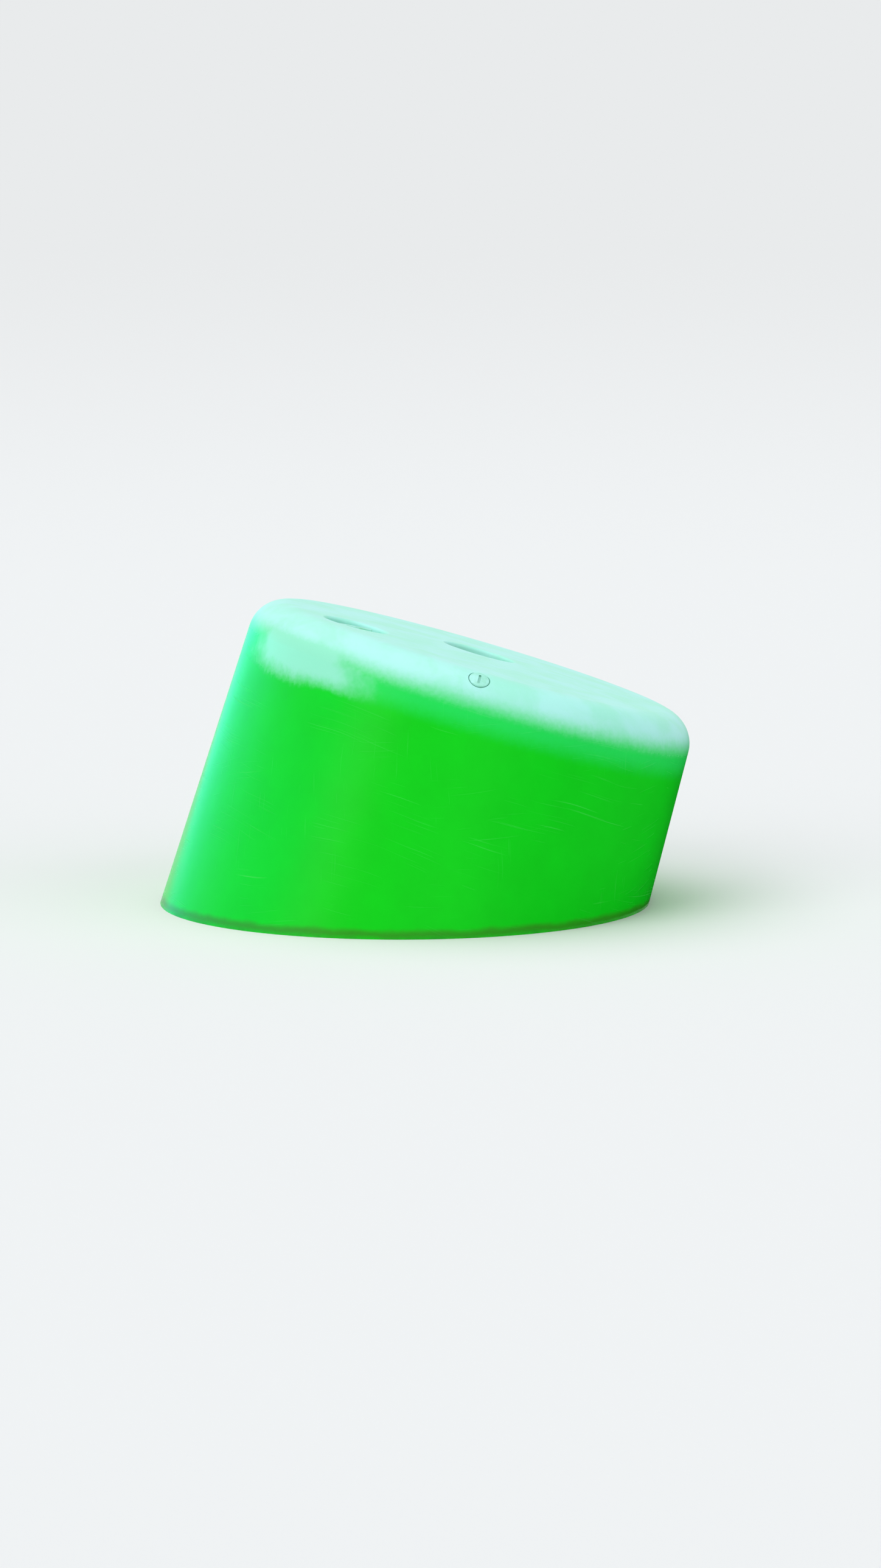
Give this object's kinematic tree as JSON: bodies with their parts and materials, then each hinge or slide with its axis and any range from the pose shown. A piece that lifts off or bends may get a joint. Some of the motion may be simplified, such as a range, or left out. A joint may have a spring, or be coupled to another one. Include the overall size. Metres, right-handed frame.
{
  "type": "drum-shaped marker and mooring buoy",
  "caption": "Green plastic drum buoy with rounded shoulders and a filler cap, on a through-bar with a swivel link and a shackle that hang below it.",
  "frame": {"origin": "where the hull's axis meets the water", "axes": "+Z is plumb, up out of the water; +X is the side that the hull's top leans to, 16.5 degrees from plumb; +Y completes a right-handed set"},
  "size_m": [0.7162, 0.628, 0.8205],
  "materials": {
    "green_polyethylene": "glossy moulded polyethylene, signal green",
    "cap_polyethylene": "satin moulded polyethylene, green",
    "rubber": "matt black rubber",
    "galvanised_steel": "hot-dip galvanised",
    "bronze": "dull bronze"
  },
  "bodies": {
    "buoy": {"hull": "green_polyethylene", "filler_seal": "rubber", "filler_cap": "cap_polyethylene", "vent_plug": "cap_polyethylene", "top_pad": "rubber", "top_plate": "galvanised_steel", "top_nut": "galvanised_steel", "through_bar": "galvanised_steel", "base_pad": "rubber", "base_plate": "galvanised_steel", "base_nut": "galvanised_steel", "upper_wear_washer": "bronze", "lower_wear_washer": "bronze", "castle_nut": "galvanised_steel", "bar_split_pin": "bronze"},
    "swivel": {"swivel_link": "galvanised_steel"},
    "shackle": {"shackle_bow": "galvanised_steel", "shackle_pin": "galvanised_steel", "shackle_nut": "galvanised_steel", "shackle_split_pin": "bronze"}
  },
  "joints": [
    {"name": "swivel_turn", "type": "hinge", "parent": "buoy", "child": "swivel", "pos_m": [-0.06796, 0, -0.22945], "axis": [0.284, 0, 0.9588], "continuous": true},
    {"name": "shackle_swing", "type": "hinge", "parent": "swivel", "child": "shackle", "pos_m": [-0.09438, 0, -0.31862], "axis": [0, 1, 0], "range_deg": [-123, 156]}
  ]
}
